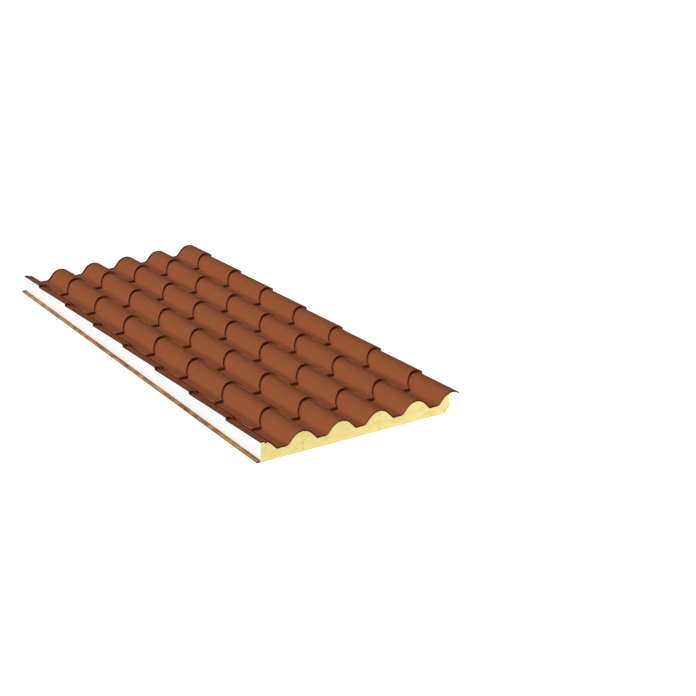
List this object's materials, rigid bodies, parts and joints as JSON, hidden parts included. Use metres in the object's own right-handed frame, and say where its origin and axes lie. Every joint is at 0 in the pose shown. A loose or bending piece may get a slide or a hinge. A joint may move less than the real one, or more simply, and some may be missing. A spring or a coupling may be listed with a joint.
{
  "type": "sandwich panel",
  "caption": "Insulated roof panel: a steel sheet pressed into rows of pan-and-cover tiles over a foam core and a flat lower sheet, with a shelf and a wing that lap at the sides.",
  "frame": {"origin": "centre of the base of the bounding box, on the underside of the lower sheet", "axes": "+Y runs up the slope from the eave end to the ridge end, +X from the shelf side to the wing side, +Z out of the roof"},
  "size_m": [1.07, 2.61, 0.1011],
  "materials": {
    "tile_paint": "matt terracotta coil coating",
    "foam": "cut rigid polyurethane foam, fine closed cells",
    "lower_paint": "streaked orange-brown wood-effect coating",
    "foil": "white paper-faced foil"
  },
  "bodies": {
    "root": {"tile_sheet": "tile_paint", "foam_core": "foam", "lower_sheet": "lower_paint", "shelf_side_foil": "foil", "wing_side_foil": "foil"}
  },
  "joints": []
}
